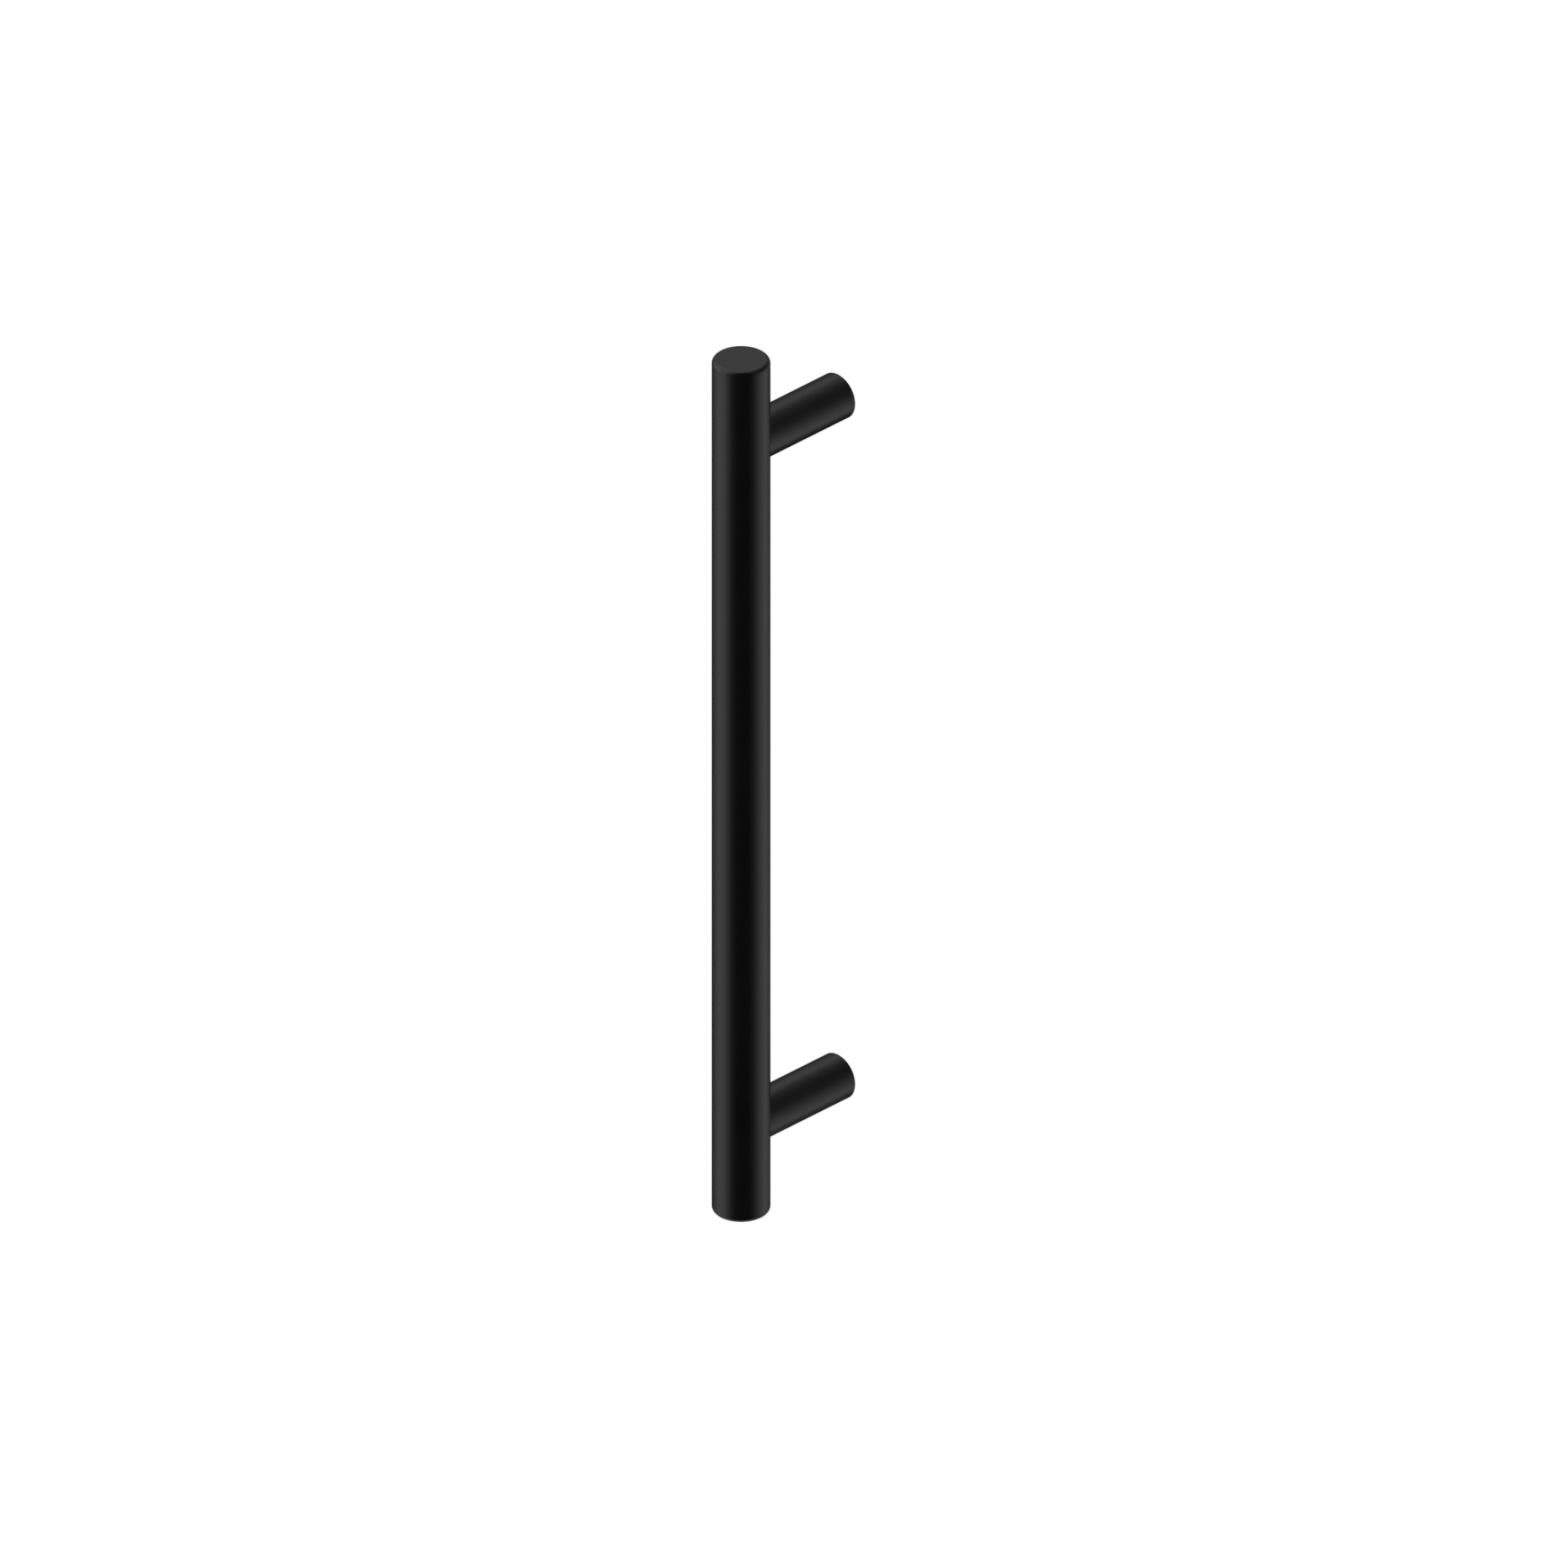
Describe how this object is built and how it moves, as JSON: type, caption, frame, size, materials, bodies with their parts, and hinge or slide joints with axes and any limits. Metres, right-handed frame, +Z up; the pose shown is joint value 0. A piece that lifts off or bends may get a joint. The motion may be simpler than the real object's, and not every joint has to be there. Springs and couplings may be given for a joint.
{
  "type": "door pull handle",
  "caption": "Straight round pull handle on two posts with rounded bar ends and hidden door fixings, in a black satin coat.",
  "frame": {"origin": "on the door face, midway between the two fixing holes", "axes": "+Z up along the grip, +Y into the door, +X to the right seen from the front of the door"},
  "size_m": [0.03, 0.085, 0.5],
  "materials": {
    "black_coat": "satin",
    "stainless": "satin",
    "black_oxide": "satin"
  },
  "bodies": {
    "root": {"grip_tube": "black_coat", "end_caps": "black_coat", "upper_post": "black_coat", "lower_post": "black_coat", "bar_slugs": "stainless", "upper_joint_screw": "stainless", "lower_joint_screw": "stainless", "door_spigots": "stainless", "upper_grub_screw": "black_oxide", "lower_grub_screw": "black_oxide"}
  },
  "joints": []
}
